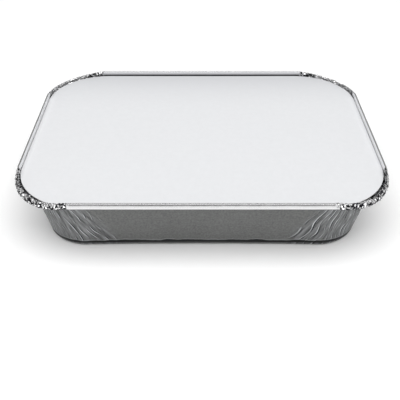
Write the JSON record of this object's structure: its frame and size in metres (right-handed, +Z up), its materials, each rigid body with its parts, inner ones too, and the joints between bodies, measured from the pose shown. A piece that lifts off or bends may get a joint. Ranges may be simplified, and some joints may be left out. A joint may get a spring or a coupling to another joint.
{
  "type": "foil food container",
  "caption": "Shallow rectangular tray pressed from thin aluminium foil, with pleated corners, a flange and an upright rolled lip, closed by a flat white board lid lying inside the lip.",
  "frame": {"origin": "on the floor, under the middle of the tray", "axes": "+X along the tray's long side, +Y along its short side, away from the viewer, +Z up, out of the tray's mouth"},
  "size_m": [0.228, 0.172, 0.044],
  "materials": {
    "foil": "satin",
    "board": "matte"
  },
  "bodies": {
    "root": {"foil_tray": "foil", "board_lid": "board"}
  },
  "joints": []
}
